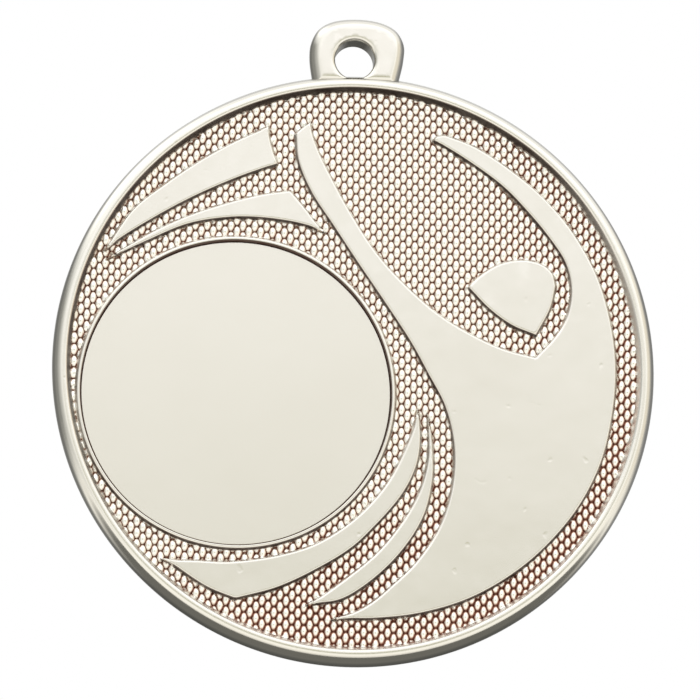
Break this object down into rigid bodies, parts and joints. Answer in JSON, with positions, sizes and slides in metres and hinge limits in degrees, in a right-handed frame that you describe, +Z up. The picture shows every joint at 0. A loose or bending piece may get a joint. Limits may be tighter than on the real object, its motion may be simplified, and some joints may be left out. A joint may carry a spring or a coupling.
{
  "type": "medal",
  "caption": "Round sports medal with a cast ribbon loop, a raised relief on a pebbled ground, and a blank disc glued in a round recess.",
  "frame": {"origin": "middle of the flat reverse field, on the disc's axis", "axes": "+Z up towards the ribbon loop, -Y out of the obverse, +Y out of the reverse, +X to the right seen from the obverse"},
  "size_m": [0.05, 0.003, 0.055],
  "materials": {
    "cast_silver": "bright plated, warm silver",
    "satin_disc": "satin",
    "adhesive_pad": "matt foam"
  },
  "bodies": {
    "root": {"medal_body": "cast_silver", "centre_disc": "satin_disc", "adhesive_pad": "adhesive_pad"}
  },
  "joints": []
}
